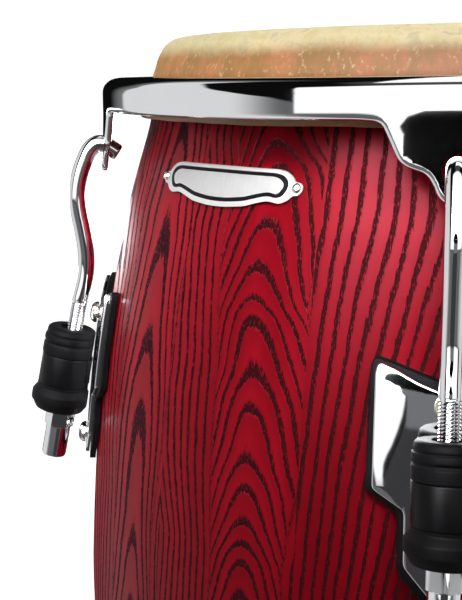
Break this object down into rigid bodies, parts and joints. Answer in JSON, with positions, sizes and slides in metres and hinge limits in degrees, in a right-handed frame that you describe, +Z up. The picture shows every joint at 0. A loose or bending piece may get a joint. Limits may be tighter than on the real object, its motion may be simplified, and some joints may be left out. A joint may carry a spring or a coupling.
{
  "type": "conga",
  "caption": "Tall coned hand drum: staved wooden shell on a rubber foot ring, hide head under a tabbed rim, tuned by hooked rods and nuts.",
  "frame": {"origin": "centre of the shell's base, on the plane that the drum stands on", "axes": "+Z up along the drum's axis; the first lug faces -Y and the badge is to its left, seen from the front"},
  "size_m": [0.4134, 0.4062, 0.711],
  "materials": {
    "shell": "satin clear coat over red stain",
    "foot_ring": "satin",
    "head_skin": "dry hide, matt",
    "flesh_hoop": "plain",
    "rim": "polished",
    "badge": "satin",
    "badge_pin": "plain",
    "tuning_hook": "polished",
    "tuning_nut": "polished",
    "upper_bush": "satin",
    "lower_bush": "satin",
    "bush_holder": "black",
    "side_plate": "polished",
    "gasket": "matt",
    "backing_strip": "black",
    "upper_bolt": "nickel tint",
    "lower_bolt": "bright"
  },
  "bodies": {
    "drum": {"shell": "shell", "foot_ring": "foot_ring", "head_skin": "head_skin", "flesh_hoop": "flesh_hoop", "badge": "badge", "badge_pin_left": "badge_pin", "badge_pin_right": "badge_pin", "upper_bush_1": "upper_bush", "lower_bush_1": "lower_bush", "bush_holder_1": "bush_holder", "side_plate_1": "side_plate", "gasket_1": "gasket", "backing_strip_1": "backing_strip", "upper_bolt_1": "upper_bolt", "lower_bolt_1": "lower_bolt", "upper_bush_2": "upper_bush", "lower_bush_2": "lower_bush", "bush_holder_2": "bush_holder", "side_plate_2": "side_plate", "gasket_2": "gasket", "backing_strip_2": "backing_strip", "upper_bolt_2": "upper_bolt", "lower_bolt_2": "lower_bolt", "upper_bush_3": "upper_bush", "lower_bush_3": "lower_bush", "bush_holder_3": "bush_holder", "side_plate_3": "side_plate", "gasket_3": "gasket", "backing_strip_3": "backing_strip", "upper_bolt_3": "upper_bolt", "lower_bolt_3": "lower_bolt", "upper_bush_4": "upper_bush", "lower_bush_4": "lower_bush", "bush_holder_4": "bush_holder", "side_plate_4": "side_plate", "gasket_4": "gasket", "backing_strip_4": "backing_strip", "upper_bolt_4": "upper_bolt", "lower_bolt_4": "lower_bolt", "upper_bush_5": "upper_bush", "lower_bush_5": "lower_bush", "bush_holder_5": "bush_holder", "side_plate_5": "side_plate", "gasket_5": "gasket", "backing_strip_5": "backing_strip", "upper_bolt_5": "upper_bolt", "lower_bolt_5": "lower_bolt"},
    "rim_body": {"rim": "rim"},
    "hook_1": {"tuning_hook_1": "tuning_hook"},
    "nut_1": {"tuning_nut_1": "tuning_nut"},
    "hook_2": {"tuning_hook_2": "tuning_hook"},
    "nut_2": {"tuning_nut_2": "tuning_nut"},
    "hook_3": {"tuning_hook_3": "tuning_hook"},
    "nut_3": {"tuning_nut_3": "tuning_nut"},
    "hook_4": {"tuning_hook_4": "tuning_hook"},
    "nut_4": {"tuning_nut_4": "tuning_nut"},
    "hook_5": {"tuning_hook_5": "tuning_hook"},
    "nut_5": {"tuning_nut_5": "tuning_nut"}
  },
  "joints": [
    {"name": "rim_tuning", "type": "slide", "parent": "drum", "child": "rim_body", "axis": [0, 0, 1], "range_m": [0, 0.004]},
    {"name": "hook_lift_1", "type": "slide", "parent": "drum", "child": "hook_1", "axis": [0, 0.2079, 0.9781], "range_m": [0, 0.00413]},
    {"name": "nut_turn_1", "type": "hinge", "parent": "drum", "child": "nut_1", "pos_m": [0, -0.193, 0.571], "axis": [0, -0.2079, -0.9781], "range_deg": [0, 1189.51]},
    {"name": "hook_lift_2", "type": "slide", "parent": "drum", "child": "hook_2", "axis": [0.1977, 0.0642, 0.9781], "range_m": [0, 0.00413]},
    {"name": "nut_turn_2", "type": "hinge", "parent": "drum", "child": "nut_2", "pos_m": [-0.18355, -0.05964, 0.571], "axis": [-0.1977, -0.0642, -0.9781], "range_deg": [0, 1189.51]},
    {"name": "hook_lift_3", "type": "slide", "parent": "drum", "child": "hook_3", "axis": [0.1222, -0.1682, 0.9781], "range_m": [0, 0.00413]},
    {"name": "nut_turn_3", "type": "hinge", "parent": "drum", "child": "nut_3", "pos_m": [-0.11344, 0.15614, 0.571], "axis": [-0.1222, 0.1682, -0.9781], "range_deg": [0, 1189.51]},
    {"name": "hook_lift_4", "type": "slide", "parent": "drum", "child": "hook_4", "axis": [-0.1222, -0.1682, 0.9781], "range_m": [0, 0.00413]},
    {"name": "nut_turn_4", "type": "hinge", "parent": "drum", "child": "nut_4", "pos_m": [0.11344, 0.15614, 0.571], "axis": [0.1222, 0.1682, -0.9781], "range_deg": [0, 1189.51]},
    {"name": "hook_lift_5", "type": "slide", "parent": "drum", "child": "hook_5", "axis": [-0.1977, 0.0642, 0.9781], "range_m": [0, 0.00413]},
    {"name": "nut_turn_5", "type": "hinge", "parent": "drum", "child": "nut_5", "pos_m": [0.18355, -0.05964, 0.571], "axis": [0.1977, -0.0642, -0.9781], "range_deg": [0, 1189.51]}
  ],
  "couplings": [
    {"joint": "hook_lift_1", "follows": "rim_tuning", "ratio": 1.0223},
    {"joint": "nut_turn_1", "follows": "rim_tuning", "rad_per_m": 5138.8},
    {"joint": "hook_lift_2", "follows": "rim_tuning", "ratio": 1.0223},
    {"joint": "nut_turn_2", "follows": "rim_tuning", "rad_per_m": 5138.8},
    {"joint": "hook_lift_3", "follows": "rim_tuning", "ratio": 1.0223},
    {"joint": "nut_turn_3", "follows": "rim_tuning", "rad_per_m": 5138.8},
    {"joint": "hook_lift_4", "follows": "rim_tuning", "ratio": 1.0223},
    {"joint": "nut_turn_4", "follows": "rim_tuning", "rad_per_m": 5138.8},
    {"joint": "hook_lift_5", "follows": "rim_tuning", "ratio": 1.0223},
    {"joint": "nut_turn_5", "follows": "rim_tuning", "rad_per_m": 5138.8}
  ]
}
